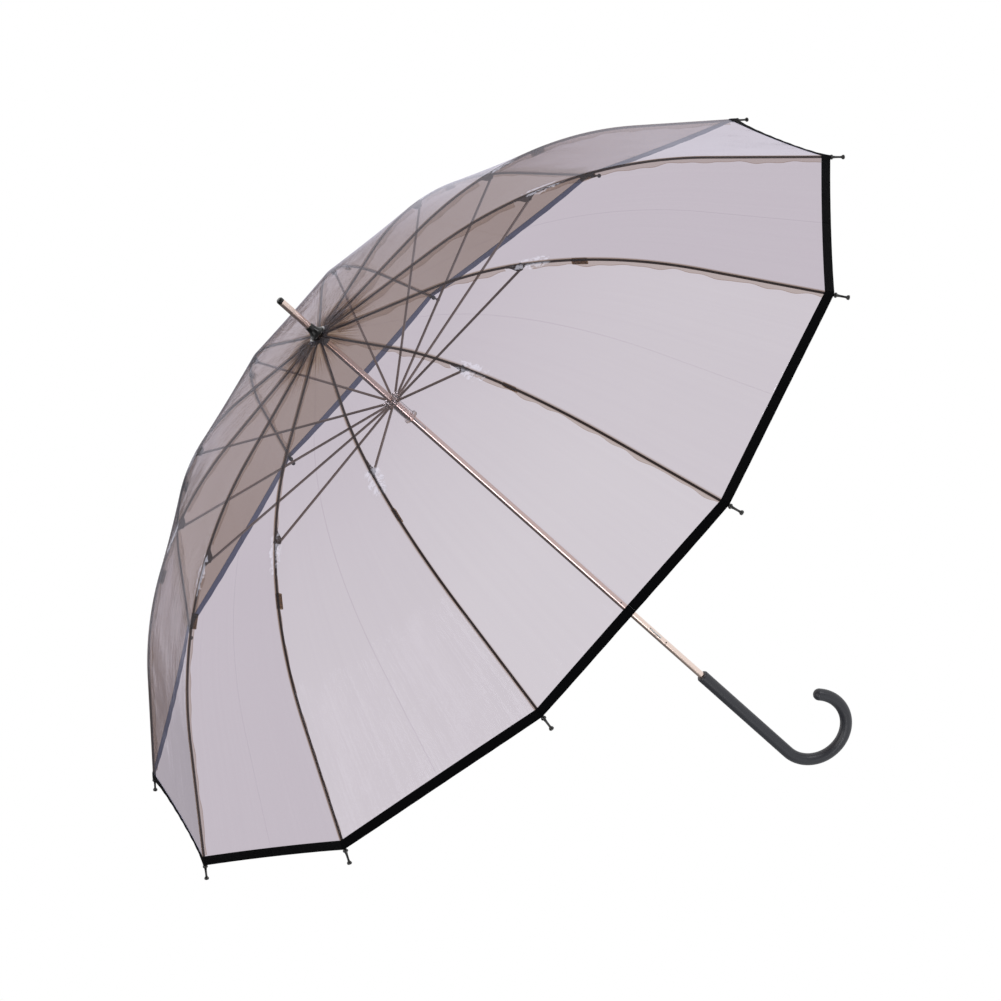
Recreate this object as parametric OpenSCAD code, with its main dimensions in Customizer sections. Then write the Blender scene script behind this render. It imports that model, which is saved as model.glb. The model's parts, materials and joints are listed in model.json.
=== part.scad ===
// Clear dome umbrella, drawn open. +Z runs up the shaft to the ferrule, the crook of the handle
// bends toward +X, and the origin is where the hand holds the grip.

/* [Canopy] */
// Number of ribs
rib_count = 12; // [8:1:12]
// Length of one rib along its curve, from its hub hinge to the hem
rib_length = 602; // [590:1:640]
// Slope of a rib at the hub, in degrees below level
crown_slope = 7; // [4:0.5:10]
// Length of the straight stretch at the hub
crown_run = 150; // [120:5:180]
// Slope of a rib at the hem, in degrees below level
rim_slope = 46; // [40:1:52]
// Distance along the rib at which its curve ends
curve_end = 466; // [440:1:520]
// Azimuth of the first rib
rib_phase = 21; // [0:1:29]
// Thickness of the clear film
film_t = 0.2; // [0.1:0.05:0.5]
// Width of the hem tape
hem_w = 9; // [6:1:14]
// Thickness of the hem tape with the film in it
hem_t = 0.7; // [0.5:0.1:1.5]

/* [Ribs and stretchers] */
// Diameter of a rib rod
rib_d = 2.6; // [2:0.1:3]
// Distance along the rib to the stretcher bracket
joint_s = 268; // [240:1:300]
// Depth of the stretcher pin below the rib rod
pin_drop = 4.5; // [4:0.1:6]
// Diameter of a stretcher rod
stretcher_d = 2.8; // [2:0.1:3]
// Diameter of the pins in the bracket
pin_d = 1.8; // [1.4:0.1:2]
// Length of the bracket
bracket_l = 20; // [16:1:26]
// Diameter of the ball at the end of a rib
ball_d = 5.2; // [4:0.2:7]

/* [Shaft] */
// Outer diameter of the shaft and of the ferrule tube
shaft_d = 8; // [7.6:0.1:8]
// Wall of the shaft tube
shaft_wall = 0.5; // [0.4:0.1:0.8]
// Height of the ferrule's tip above the hub hinges
ferrule_h = 63; // [50:1:90]
// Length of the cap on the ferrule's end
cap_l = 4.6; // [4:0.2:10]
// Height of the flared collar above the canopy
collar_h = 13.7; // [12:0.1:18]
// Diameter of the collar's base
collar_d = 18; // [16:0.5:22]
// Diameter of the clear washer under the collar
washer_d = 22; // [20:0.5:26]
// Radius of the circle of rib hinges
hub_ring_r = 8.5; // [8.5:0.1:10]
// Diameter of the ring wires in the hub and the runner
wire_d = 1.2; // [1:0.1:1.2]

/* [Runner] */
// Depth of the stretcher ends below the hub hinges when open
runner_drop = 113.5; // [105:0.5:125]
// Length of the runner below the stretcher ends
runner_l = 30; // [24:1:40]
// Diameter of the runner's notched crown
crown_d = 21.6; // [21:0.2:24]
// Radius of the circle of stretcher ends
runner_ring_r = 9.8; // [9.6:0.1:10.4]
// Diameter of the runner's sleeve
sleeve_d = 12; // [11:0.5:13]
// Azimuth of the two catches
catch_azimuth = -69; // [-69:30:261]
// Depth of the lower catch's square end below the hub hinges
low_catch_drop = 555; // [545:1:560]

/* [Handle] */
// Depth of the handle's top below the hub hinges
handle_drop = 630.5; // [620:0.5:660]
// Length of the straight part of the handle
grip_l = 155.5; // [140:0.5:180]
// Diameter of the handle
handle_d = 14.5; // [14:0.5:18]
// Radius of the crook's centre line
crook_r = 42; // [36:1:50]
// Angle that the crook turns through
crook_turn = 216; // [180:1:225]

/* [Hidden] */
$fn = 48;
// depth of the origin below the hub hinges: the middle of the straight grip
origin_drop = handle_drop + grip_l / 2;
gap = 0.3;
eye_t = 1.5;
slot_w = 2.1;
// parting between two stretches of one rod, hidden inside its crimp
seam = 0.01;
rib_r = rib_d / 2;
// the film lies this far outside the rib's centre line
film_lift = rib_r + 0.6;
shaft_r = shaft_d / 2;
bore_r = shaft_r - shaft_wall;
handle_r = handle_d / 2;
socket_l = 30;
spigot_l = 15;
joint_z = 9;
collar_z = 3.8;
washer_t = 0.8;
catch_reach = 2.2;
catch_t = 1.4;
catch_l = 18;
crown_h = 6;

// The rib's centre line: a straight stretch, an arc, and a straight stretch, in radius and height.
arc_r = (curve_end - crown_run) / ((rim_slope - crown_slope) * PI / 180);
function slope_at(s) = s < crown_run ? crown_slope
    : s > curve_end ? rim_slope
    : crown_slope + (s - crown_run) / arc_r * 180 / PI;
arc_start = [hub_ring_r + crown_run * cos(crown_slope), -crown_run * sin(crown_slope)];
arc_centre = arc_start - arc_r * [sin(crown_slope), cos(crown_slope)];
function on_arc(a) = arc_centre + arc_r * [sin(a), cos(a)];
function rib_point(s) = s < crown_run ? [hub_ring_r, 0] + s * [cos(crown_slope), -sin(crown_slope)]
    : s > curve_end ? on_arc(rim_slope) + (s - curve_end) * [cos(rim_slope), -sin(rim_slope)]
    : on_arc(slope_at(s));
function rib_normal(s) = [sin(slope_at(s)), cos(slope_at(s))];

stretcher_pin = rib_point(joint_s) - pin_drop * rib_normal(joint_s);
runner_pin = [runner_ring_r, -runner_drop];
stretcher_span = stretcher_pin - runner_pin;
stretcher_l = norm(stretcher_span);

numbers = [for (i = [1:rib_count]) i];
function numbered(name, i) = str(name, i < 10 ? "_0" : "_", i);

// Heights are measured from the plane of the hub hinges, and this lifts them to the origin at the grip.
module from_hub() translate([0, 0, origin_drop]) children();

// Puts what is drawn in the XZ plane at one rib's azimuth.
module at_rib(i) from_hub() rotate([0, 0, rib_phase + (i - 1) * 360 / rib_count]) children();

// Moves the origin to a place on the rib, with +X along the rib and +Z out through the film.
module on_rib(s) translate([rib_point(s)[0], 0, rib_point(s)[1]]) rotate([0, slope_at(s), 0]) children();

module tube(outer_r, inner_r, z0, z1) translate([0, 0, z0]) difference() {
    cylinder(r = outer_r, h = z1 - z0);
    translate([0, 0, -1]) cylinder(r = inner_r, h = z1 - z0 + 2);
}

module ring(ring_r, wire_r, z) translate([0, 0, z]) rotate_extrude() translate([ring_r, 0]) circle(r = wire_r);

// A cylinder across the rib's plane, as wide as given.
module cross_pin(r, width) rotate([90, 0, 0]) cylinder(r = r, h = width, center = true);

// A straight round rod along the rib, from s0 for the given length.
module straight_rod(s0, length, r) on_rib(s0) rotate([0, 90, 0]) cylinder(r = r, h = length);

// A round rod that follows the rib's arc from s0 to s1.
module arc_rod(s0, s1, r) translate([arc_centre[0], 0, arc_centre[1]]) rotate([90, 0, 0])
    rotate([0, 0, 90 - slope_at(s1)])
        rotate_extrude(angle = slope_at(s1) - slope_at(s0)) translate([arc_r, 0]) circle(r = r);

// The crimp where a straight stretch of rod meets the arc.
module crimp(s) on_rib(s) rotate([0, 90, 0]) cylinder(r = rib_r + 0.15, h = 6, center = true);

// Radial notches round a hub, cut from the given radius outward.
module notches(from_r, z0, z1) for (i = numbers)
    rotate([0, 0, rib_phase + (i - 1) * 360 / rib_count])
        translate([from_r, -slot_w / 2, z0]) cube([20, slot_w, z1 - z0]);

// The slot that a catch looks out of, from its square end toward its sloping end.
module catch_slot(square_z, direction) rotate([0, 0, catch_azimuth])
    translate([0, -1, min(square_z - direction * 0.6, square_z + direction * (catch_l + 0.6))])
        cube([20, 2, catch_l + 1.2]);

module small_hole(z) rotate([0, 0, catch_azimuth]) translate([0, 0, z]) rotate([0, 90, 0]) cylinder(d = 2, h = 20);

top_catch_z = -runner_drop - runner_l - 1;

// Steel tube that the runner slides on, with the slots and rivet holes of the two catches
module shaft_tube() color("rosybrown") from_hub() difference() {
    tube(shaft_r, bore_r, -handle_drop - socket_l, joint_z);
    catch_slot(top_catch_z, -1);
    catch_slot(-low_catch_drop, 1);
    small_hole(-low_catch_drop + 68);
    small_hole(-low_catch_drop - 10);
}

// Steel tube above the canopy, with a spigot pressed into the shaft
module ferrule_tube() color("rosybrown") from_hub() {
    tube(shaft_r, bore_r - 0.8, joint_z, ferrule_h - cap_l);
    tube(bore_r, bore_r - 0.8, joint_z - spigot_l, joint_z);
}

// Cap on the ferrule tube, with a plug inside the tube
module ferrule_cap() color("black") from_hub() translate([0, 0, ferrule_h - cap_l]) {
    cylinder(r = shaft_r, h = cap_l - 1.5);
    translate([0, 0, cap_l - 1.5]) cylinder(r1 = shaft_r, r2 = shaft_r - 1.2, h = 1.5);
    translate([0, 0, -8]) cylinder(r = bore_r - 0.8, h = 8);
}

// Flared collar that presses the film down on the hub
module top_collar() color("black") from_hub() translate([0, 0, collar_z]) rotate_extrude() polygon([
    [shaft_r, 0], [collar_d / 2, 0], [collar_d / 2, 1.2], [collar_d / 2 - 2.4, 3.4],
    [shaft_r + 1.2, 7.5], [shaft_r + 0.6, collar_h], [shaft_r, collar_h]]);

// Clear washer between the collar and the film
module canopy_washer() color("lightgray", 0.5) from_hub()
    tube(washer_d / 2, shaft_r, collar_z - washer_t, collar_z);

// Notched hub that carries the twelve rib hinges
module rib_hub() color("dimgray") from_hub() difference() {
    union() {
        tube(hub_ring_r + 1.7, shaft_r, -3.2, 0.9);
        tube(6, shaft_r, -10, -3.2);
    }
    notches(6.2, -4, 2);
    ring(hub_ring_r, wire_d / 2, 0);
}

// Ring of wire that threads the eyes of the ribs
module hub_wire() color("silver") from_hub() ring(hub_ring_r, wire_d / 2, 0);

// Clear runner: notched crown, sleeve with a groove for the catches, and a flange for the fingers
module runner() color("whitesmoke", 0.5) from_hub() translate([0, 0, -runner_drop]) difference() {
    union() {
        tube(crown_d / 2, shaft_r + 0.1, -crown_h / 2, crown_h / 2);
        tube(sleeve_d / 2, shaft_r + 0.1, -runner_l + 2.5, -crown_h / 2);
        tube(sleeve_d / 2 + 2.2, shaft_r + 0.1, -runner_l, -runner_l + 2.5);
    }
    notches(6.4, -crown_h, crown_h);
    ring(runner_ring_r - 2.4, wire_d / 2, 0);
    rotate([0, 0, catch_azimuth]) translate([0, -1.2, -50]) cube([shaft_r + catch_reach + 0.5, 2.4, 100]);
}

// Ring of wire in the runner's crown, behind the stretcher ends
module runner_wire() color("silver") from_hub() ring(runner_ring_r - 2.4, wire_d / 2, -runner_drop);

// A spring catch: a leaf inside the shaft and a nose that slopes on one side.
module catch(square_z, direction) color("silver") from_hub() rotate([0, 0, catch_azimuth])
    translate([0, catch_t / 2, square_z]) rotate([90, 0, 0]) linear_extrude(catch_t) scale([1, direction])
        polygon([[0.6, -4], [bore_r - gap, -4], [bore_r - gap, 0], [shaft_r + catch_reach, 0],
                 [shaft_r + catch_reach, 3], [shaft_r - 0.2, catch_l - 1], [bore_r - gap, catch_l - 1],
                 [bore_r - gap, catch_l + 6], [0.6, catch_l + 6]]);
module top_catch() catch(top_catch_z, -1);
module bottom_catch() catch(-low_catch_drop, 1);

// Crook handle with a blind socket for the shaft
module handle() color("darkslategray") from_hub() translate([0, 0, -handle_drop]) difference() {
    union() {
        translate([0, 0, -grip_l]) cylinder(r = handle_r, h = grip_l - 1.5);
        translate([0, 0, -1.5]) cylinder(r1 = handle_r, r2 = handle_r - 1, h = 1.5);
        translate([crook_r, 0, -grip_l]) rotate([90, 0, 0]) rotate([0, 0, 180])
            rotate_extrude(angle = crook_turn) translate([crook_r, 0]) circle(r = handle_r);
        translate([crook_r * (1 - cos(crook_turn)), 0, -grip_l - crook_r * sin(crook_turn)])
            sphere(r = handle_r);
    }
    translate([0, 0, -socket_l]) cylinder(r = shaft_r, h = socket_l + 1);
}

// Inner rib: the hub eye, the rod, and the bracket with its two pins
module rib_inner(i) color("#4a3a35") at_rib(i) {
    on_rib(0) difference() {
        union() {
            cross_pin(1.5, eye_t);
            translate([0, -eye_t / 2, -1.1]) cube([7, eye_t, 2.2]);
        }
        cross_pin(wire_d / 2 + 0.15, 5);
    }
    straight_rod(6, crown_run - 6 - seam, rib_r);
    crimp(crown_run);
    arc_rod(crown_run + seam, joint_s - 2.6, rib_r);
    on_rib(joint_s) {
        for (side = [-1, 1]) translate([-0.65 * bracket_l, side * 2.3 - 0.3, -pin_drop - 2.2])
            cube([bracket_l, 0.6, pin_drop + 3.6]);
        translate([-0.65 * bracket_l, -2.3, -1.8]) cube([bracket_l * 0.45, 4.6, 3]);
        cross_pin(pin_d / 2, 5.2);
        translate([0, 0, -pin_drop]) cross_pin(pin_d / 2, 5.2);
    }
}

// Outer rib: the eye on the bracket's pin, the rod, and the tip with its ball
module rib_outer(i) color("#4a3a35") at_rib(i) {
    difference() {
        union() {
            on_rib(joint_s) cross_pin(1.7, 2.4);
            arc_rod(joint_s + 0.8, curve_end - seam, rib_r);
        }
        on_rib(joint_s) cross_pin(pin_d / 2 + 0.1, 9);
    }
    crimp(curve_end);
    straight_rod(curve_end + seam, rib_length + 14 - curve_end, rib_r);
    straight_rod(rib_length - 8, 21, 1.7);
    straight_rod(rib_length + 0.5, 2, 2.6);
    on_rib(rib_length + 14) sphere(d = ball_d);
}

// Stretcher: the eye on the bracket's pin, the rod, and the flat end at the runner
module stretcher(i) color("gray") at_rib(i)
    translate([runner_pin[0], 0, runner_pin[1]])
        rotate([0, -atan2(stretcher_span[1], stretcher_span[0]), 0]) difference() {
            union() {
                cross_pin(1.2, eye_t);
                translate([0, -eye_t / 2, -1.2]) cube([6, eye_t, 2.4]);
                translate([5, 0, 0]) rotate([0, 90, 0]) cylinder(d = stretcher_d, h = stretcher_l - 5);
                translate([stretcher_l, 0, 0]) cross_pin(1.8, 2.6);
            }
            translate([stretcher_l, 0, 0]) cross_pin(pin_d / 2 + 0.1, 9);
        }

// Stations along one film panel, each a distance along the rib and a thickness: film, then hem.
arc_steps = 12;
stations = concat(
    [[-3, film_t], [crown_run / 2, film_t], [crown_run, film_t]],
    [for (k = [1:arc_steps]) [crown_run + (curve_end - crown_run) * k / arc_steps, film_t]],
    [[rib_length - hem_w, film_t], [rib_length - hem_w + 0.1, hem_t], [rib_length, hem_t]]);

// A point on the film at a station, a lift off the rib, and a side: -1 and 1 are the gore mid-lines.
function film_point(s, lift, side) =
    let (p = rib_point(s) + lift * rib_normal(s), half = 180 / rib_count)
    side == 0 ? [p[0], 0, p[1]] : [p[0] * cos(half) * cos(half) + 0.15 * sin(half),
                                   side * (p[0] * cos(half) * sin(half) - 0.15 * cos(half)), p[1]];

// One panel of the canopy, centred on its rib and flat on each side of it, with its hem
module canopy_panel(i) color("lightsteelblue", 0.3) at_rib(i) {
    rows = len(stations);
    points = [for (st = stations) for (lift = [film_lift + st[1], film_lift])
              for (side = [-1, 0, 1]) film_point(st[0], lift, side)];
    // strips of the section's outline, taken in order round it
    outline = [0, 1, 2, 5, 4, 3];
    walls = [for (k = [0:rows - 2]) for (j = [0:5])
        let (a = k * 6 + outline[j], b = k * 6 + outline[(j + 1) % 6])
        each [[a, b, b + 6], [a, b + 6, a + 6]]];
    last = (rows - 1) * 6;
    ends = [[0, 3, 4], [0, 4, 1], [1, 4, 5], [1, 5, 2],
            [last, last + 4, last + 3], [last, last + 1, last + 4],
            [last + 1, last + 5, last + 4], [last + 1, last + 2, last + 5]];
    polyhedron(points, concat(walls, ends));
}

shaft_tube();
ferrule_tube();
ferrule_cap();
top_collar();
canopy_washer();
rib_hub();
hub_wire();
runner();
runner_wire();
top_catch();
bottom_catch();
handle();
for (i = numbers) {
    rib_inner(i);
    rib_outer(i);
    stretcher(i);
    canopy_panel(i);
}
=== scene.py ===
# Clear dome umbrella: film, ribs, tips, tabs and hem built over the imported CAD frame.
import json
import math

import bmesh
import bpy
import numpy as np
from mathutils import Matrix, Vector

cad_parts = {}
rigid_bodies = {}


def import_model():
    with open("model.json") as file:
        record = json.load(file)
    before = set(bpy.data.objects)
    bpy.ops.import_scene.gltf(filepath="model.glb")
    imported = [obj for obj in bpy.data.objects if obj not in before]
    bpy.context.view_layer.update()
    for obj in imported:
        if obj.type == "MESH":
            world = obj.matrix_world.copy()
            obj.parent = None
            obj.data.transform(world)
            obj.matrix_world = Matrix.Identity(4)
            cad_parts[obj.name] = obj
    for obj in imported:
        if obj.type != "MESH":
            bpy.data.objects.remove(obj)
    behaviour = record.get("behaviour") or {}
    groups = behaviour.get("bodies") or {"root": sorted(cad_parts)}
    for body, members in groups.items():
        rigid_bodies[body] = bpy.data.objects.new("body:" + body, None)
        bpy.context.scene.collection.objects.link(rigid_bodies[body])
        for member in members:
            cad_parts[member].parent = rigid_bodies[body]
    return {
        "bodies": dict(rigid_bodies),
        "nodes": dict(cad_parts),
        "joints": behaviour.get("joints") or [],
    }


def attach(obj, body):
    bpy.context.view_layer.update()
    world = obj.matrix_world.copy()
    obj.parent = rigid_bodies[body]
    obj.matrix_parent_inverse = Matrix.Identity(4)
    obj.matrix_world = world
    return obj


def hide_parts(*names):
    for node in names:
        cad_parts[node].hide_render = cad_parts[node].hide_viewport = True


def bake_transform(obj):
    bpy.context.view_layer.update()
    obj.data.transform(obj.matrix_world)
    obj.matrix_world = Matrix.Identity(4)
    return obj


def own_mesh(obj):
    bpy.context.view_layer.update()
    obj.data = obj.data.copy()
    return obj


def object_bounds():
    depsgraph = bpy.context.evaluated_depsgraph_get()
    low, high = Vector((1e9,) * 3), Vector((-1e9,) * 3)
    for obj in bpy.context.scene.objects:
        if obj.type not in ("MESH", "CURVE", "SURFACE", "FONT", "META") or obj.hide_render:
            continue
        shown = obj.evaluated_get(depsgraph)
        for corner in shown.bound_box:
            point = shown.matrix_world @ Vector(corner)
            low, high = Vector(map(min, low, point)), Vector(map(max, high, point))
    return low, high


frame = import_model()
cadLow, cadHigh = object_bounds()
joints = {j["name"]: j for j in frame["joints"]}
ribCount = sum(1 for name in frame["bodies"] if name.startswith("rib_inner"))
print("frame loaded:", len(frame["nodes"]), "nodes,", ribCount, "ribs")


shot = {
    "azimuth": -84.42,  # where the camera stands round the shaft
    "elevation": 23.37,
    "roll": 48.4,
    "distance": 3.497,
    "lookAt": (-0.0032, -0.0003, 0.4179),
    "lens": 111.5,
    "sensor": 36,
    "farthest": 200,
}


def makeCamera():
    # a frame whose Z points back from the target, rolled about that line
    a, e = math.radians(shot["azimuth"]), math.radians(shot["elevation"])
    back = Vector((math.cos(a) * math.cos(e), math.sin(a) * math.cos(e), math.sin(e)))
    data = bpy.data.cameras.new("camera")
    data.lens = shot["lens"]
    data.sensor_width = shot["sensor"]
    data.clip_end = shot["farthest"]
    camera = bpy.data.objects.new("camera", data)
    bpy.context.scene.collection.objects.link(camera)
    roll = Matrix.Rotation(math.radians(-shot["roll"]), 3, "Z").to_quaternion()
    camera.rotation_mode = "QUATERNION"
    camera.rotation_quaternion = back.to_track_quat("Z", "Y") @ roll
    camera.location = Vector(shot["lookAt"]) + back * shot["distance"]
    bpy.context.scene.camera = camera


studio = {
    "floorDrop": 0.25,  # how far the floor lies under the crook
    "floorHalf": 90,
    "floorFade": (-1.1, 0.3),  # where the floor goes from its dim to its lit side, along X
    "bounce": (0.12, 0.90),  # the floor's brightness as the object sees it, on the dim and lit side
    "roomLow": 0.16,  # the dim side of the room
    "roomHigh": 1.0,  # its lit side
    "litSide": (0.15, 0.98, 0.1),
    "roomFade": (-0.15, 0.45),  # cosine from the lit side at which the room goes from dim to lit
    "bounces": 32,  # enough for every layer of film
}

softboxes = {
    "keySoftbox": {"position": (-1.9, -2.4, 2.9), "target": (0, 0, 0.45), "size": (2.4, 2.4), "power": 60},
    "lowStrip": {
        "position": (-0.32, -1.16, -0.04),
        "target": (0, 0, 0.35),
        "size": (0.36, 0.62),
        "power": 3.4,
    },
    "sideStrip": {"position": (2.6, -1.4, 1.3), "target": (0, 0, 0.3), "size": (0.3, 1.8), "power": 26},
    "topSoftbox": {
        "position": (0.3, 0.9, 3.2),
        "target": (0, 0, 0.5),
        "size": (1.6, 1.0),
        "power": 40,
        "tint": (0.93, 0.95, 1.0),
        "mirrored": False,
    },
}


def areaLight(name, position, target, size, power, tint=(1, 1, 1), mirrored=True):
    # a rectangle that shines toward its target; the camera never sees it, and the film only where mirrored
    data = bpy.data.lights.new(name, "AREA")
    data.shape = "RECTANGLE"
    data.size, data.size_y = size
    data.energy = power
    data.color = tint
    light = bpy.data.objects.new(name, data)
    light.location = position
    light.rotation_mode = "QUATERNION"
    light.rotation_quaternion = (Vector(position) - Vector(target)).to_track_quat("Z", "Y")
    bpy.context.scene.collection.objects.link(light)
    light.visible_camera = False
    light.visible_glossy = mirrored


def whiteToCamera(nodes, links, strength, bright):
    # brightness 1 to the camera and the given brightness to every other ray
    path = nodes.new("ShaderNodeLightPath")
    mix = nodes.new("ShaderNodeMix")
    links.new(path.outputs["Is Camera Ray"], mix.inputs["Factor"])
    links.new(bright, mix.inputs["A"])
    mix.inputs["B"].default_value = 1.0
    links.new(mix.outputs["Result"], strength)


def makeStudio():
    # a plain white floor, softboxes, and a room that is dim behind the camera
    bpy.context.scene.view_settings.view_transform = "Standard"
    bpy.context.scene.cycles.transparent_max_bounces = studio["bounces"]
    height = cadLow.z - studio["floorDrop"]
    half = studio["floorHalf"]
    corners = [(half * x, half * y, height) for x, y in ((-1, -1), (1, -1), (1, 1), (-1, 1))]
    mesh = bpy.data.meshes.new("floor")
    mesh.from_pydata(corners, [], [(0, 1, 2, 3)])
    floor = bpy.data.objects.new("floor", mesh)
    bpy.context.scene.collection.objects.link(floor)
    paint = bpy.data.materials.new("floorPaint")
    paint.use_nodes = True
    shader = paint.node_tree.nodes["Principled BSDF"]
    shader.inputs["Base Color"].default_value = (0, 0, 0, 1)
    shader.inputs["Roughness"].default_value = 1
    shader.inputs["Specular IOR Level"].default_value = 0
    shader.inputs["Emission Color"].default_value = (1, 1, 1, 1)
    nodes, links = paint.node_tree.nodes, paint.node_tree.links
    place = nodes.new("ShaderNodeTexCoord")
    across = nodes.new("ShaderNodeSeparateXYZ")
    links.new(place.outputs["Object"], across.inputs["Vector"])
    pool = nodes.new("ShaderNodeMapRange")
    pool.interpolation_type = "SMOOTHSTEP"
    pool.inputs["From Min"].default_value, pool.inputs["From Max"].default_value = studio["floorFade"]
    pool.inputs["To Min"].default_value, pool.inputs["To Max"].default_value = studio["bounce"]
    links.new(across.outputs["X"], pool.inputs["Value"])
    whiteToCamera(nodes, links, shader.inputs["Emission Strength"], pool.outputs["Result"])
    mesh.materials.append(paint)

    world = bpy.data.worlds.new("studioWorld")
    bpy.context.scene.world = world
    world.use_nodes = True
    nodes, links = world.node_tree.nodes, world.node_tree.links
    coord = nodes.new("ShaderNodeTexCoord")
    toward = nodes.new("ShaderNodeVectorMath")
    toward.operation = "DOT_PRODUCT"
    toward.inputs[1].default_value = studio["litSide"]
    span = nodes.new("ShaderNodeMapRange")
    span.interpolation_type = "SMOOTHSTEP"
    span.inputs["From Min"].default_value, span.inputs["From Max"].default_value = studio["roomFade"]
    span.inputs["To Min"].default_value = studio["roomLow"]
    span.inputs["To Max"].default_value = studio["roomHigh"]
    links.new(coord.outputs["Generated"], toward.inputs[0])
    links.new(toward.outputs["Value"], span.inputs["Value"])
    nodes["Background"].inputs["Color"].default_value = (1, 1, 1, 1)
    whiteToCamera(nodes, links, nodes["Background"].inputs["Strength"], span.outputs["Result"])
    for name, light in softboxes.items():
        areaLight(name, **light)


makeCamera()
makeStudio()
print("camera and studio made")


def nodeGroup(name, inputs, outputs):
    # an empty group with its sockets, and the nodes that read and write them
    group = bpy.data.node_groups.new(name, "ShaderNodeTree")
    for label, kind, value in inputs:
        socket = group.interface.new_socket(label, in_out="INPUT", socket_type=kind)
        socket.default_value = value
    for label, kind in outputs:
        group.interface.new_socket(label, in_out="OUTPUT", socket_type=kind)
    return group, group.nodes.new("NodeGroupInput"), group.nodes.new("NodeGroupOutput")


def makeGrainGroup():
    # two scales of noise, as a height and as a mask from 0 to 1
    group, given, made = nodeGroup(
        "surfaceGrain",
        [("Scale", "NodeSocketFloat", 400.0), ("Detail", "NodeSocketFloat", 3.0)],
        [("Height", "NodeSocketFloat"), ("Mask", "NodeSocketFloat")],
    )
    nodes, links = group.nodes, group.links
    coord = nodes.new("ShaderNodeTexCoord")
    fine = nodes.new("ShaderNodeTexNoise")
    coarse = nodes.new("ShaderNodeTexNoise")
    coarse.inputs["Scale"].default_value = 14  # patches of about 7 cm
    coarse.inputs["Detail"].default_value = 4
    for noise in (fine, coarse):
        links.new(coord.outputs["Object"], noise.inputs["Vector"])
    links.new(given.outputs["Scale"], fine.inputs["Scale"])
    links.new(given.outputs["Detail"], fine.inputs["Detail"])
    links.new(fine.outputs["Fac"], made.inputs["Height"])
    links.new(coarse.outputs["Fac"], made.inputs["Mask"])
    return group


def makeWeaveGroup():
    # warp and weft as two crossed sine waves on the UV map, which is in metres
    group, given, made = nodeGroup(
        "tapeWeave",
        [("Threads", "NodeSocketFloat", 1600.0)],
        [("Height", "NodeSocketFloat")],
    )
    nodes, links = group.nodes, group.links
    uv = nodes.new("ShaderNodeUVMap")
    waves = []
    for direction in ("X", "Y"):
        wave = nodes.new("ShaderNodeTexWave")
        wave.bands_direction = direction
        wave.inputs["Distortion"].default_value = 0.4
        links.new(uv.outputs["UV"], wave.inputs["Vector"])
        links.new(given.outputs["Threads"], wave.inputs["Scale"])
        waves.append(wave)
    both = nodes.new("ShaderNodeMath")
    both.operation = "MAXIMUM"
    for k, wave in enumerate(waves):
        links.new(wave.outputs["Fac"], both.inputs[k])
    links.new(both.outputs["Value"], made.inputs["Height"])
    return group


grainGroup = makeGrainGroup()
weaveGroup = makeWeaveGroup()


def newMaterial(name, **plain):
    # a Principled material with plain values set on its own sockets
    material = bpy.data.materials.new(name)
    material.use_nodes = True
    shader = material.node_tree.nodes["Principled BSDF"]
    for socket, value in plain.items():
        label = socket.replace("_", " ")
        shader.inputs[label].default_value = (*value, 1) if isinstance(value, tuple) else value
    return material, material.node_tree.nodes, material.node_tree.links, shader


def addGroup(material, group, **values):
    node = material.node_tree.nodes.new("ShaderNodeGroup")
    node.node_tree = group
    for label, value in values.items():
        node.inputs[label].default_value = value
    return node


def addBump(material, height, strength, distance):
    nodes, links = material.node_tree.nodes, material.node_tree.links
    bump = nodes.new("ShaderNodeBump")
    bump.inputs["Strength"].default_value = strength
    bump.inputs["Distance"].default_value = distance
    links.new(height, bump.inputs["Height"])
    links.new(bump.outputs["Normal"], nodes["Principled BSDF"].inputs["Normal"])
    return bump


def toneBetween(material, mask, low, high, socket):
    # a ramp from one tone to another over a mask
    nodes, links = material.node_tree.nodes, material.node_tree.links
    ramp = nodes.new("ShaderNodeValToRGB")
    ramp.color_ramp.elements[0].position = 0.3
    ramp.color_ramp.elements[1].position = 0.7
    for element, tone in zip(ramp.color_ramp.elements, (low, high)):
        element.color = (*tone, 1) if isinstance(tone, tuple) else (tone, tone, tone, 1)
    links.new(mask, ramp.inputs["Fac"])
    links.new(ramp.outputs["Color"], nodes["Principled BSDF"].inputs[socket])


dome = {
    "crownSlope": 7,  # degrees below level at the hub
    "crownRun": 0.150,  # straight part of the rib at the hub
    "rimSlope": 46,
    "curveEnd": 0.466,  # distance along the rib at which the last straight part starts
    "ribLength": 0.602,
    "bracketAt": 0.268,  # along the rib
    "filmLift": 0.0019,  # film above the rib's centre line
    "underFilm": 0.0003,  # gap between the film and what hangs from it
    "filmStart": 0.0006,  # along the rib, under the washer
    "gatherReach": 0.085,
    "gatherPleat": 0.0020,  # height of the pleats at the hub
    "pleatRise": (0.004, 0.024),  # along the rib, where the pleats reach their height
    "sag": 0.0018,  # how far a gore's middle lies inside its chord at the rim
    "hemDip": 0.001,  # how much shorter the film is in a gore's middle
    "hemCurl": 0.24,  # how far the hem turns inward between ribs, as a slope
    "hemFlutter": 0.08,  # share by which that slope comes and goes along the hem
}


finish = {
    "metalWarm": (0.84, 0.66, 0.58),
    "metalPale": (0.92, 0.77, 0.70),
    "ribBrown": (0.042, 0.026, 0.016),
    "ribWorn": (0.085, 0.055, 0.036),
    "stretcherGrey": (0.20, 0.165, 0.15),
    "stretcherPale": (0.30, 0.25, 0.23),
    "gripSlate": (0.022, 0.023, 0.030),
    "gripWorn": (0.028, 0.030, 0.038),
    "tapeBlack": (0.0015, 0.0015, 0.002),
    # the black tape's inside face, coloured blue-grey as a painted sheen of light from behind
    "tapeInsidePaintedSheen": (0.16, 0.185, 0.29),
    "tabOlive": (0.060, 0.050, 0.040),
}


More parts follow.
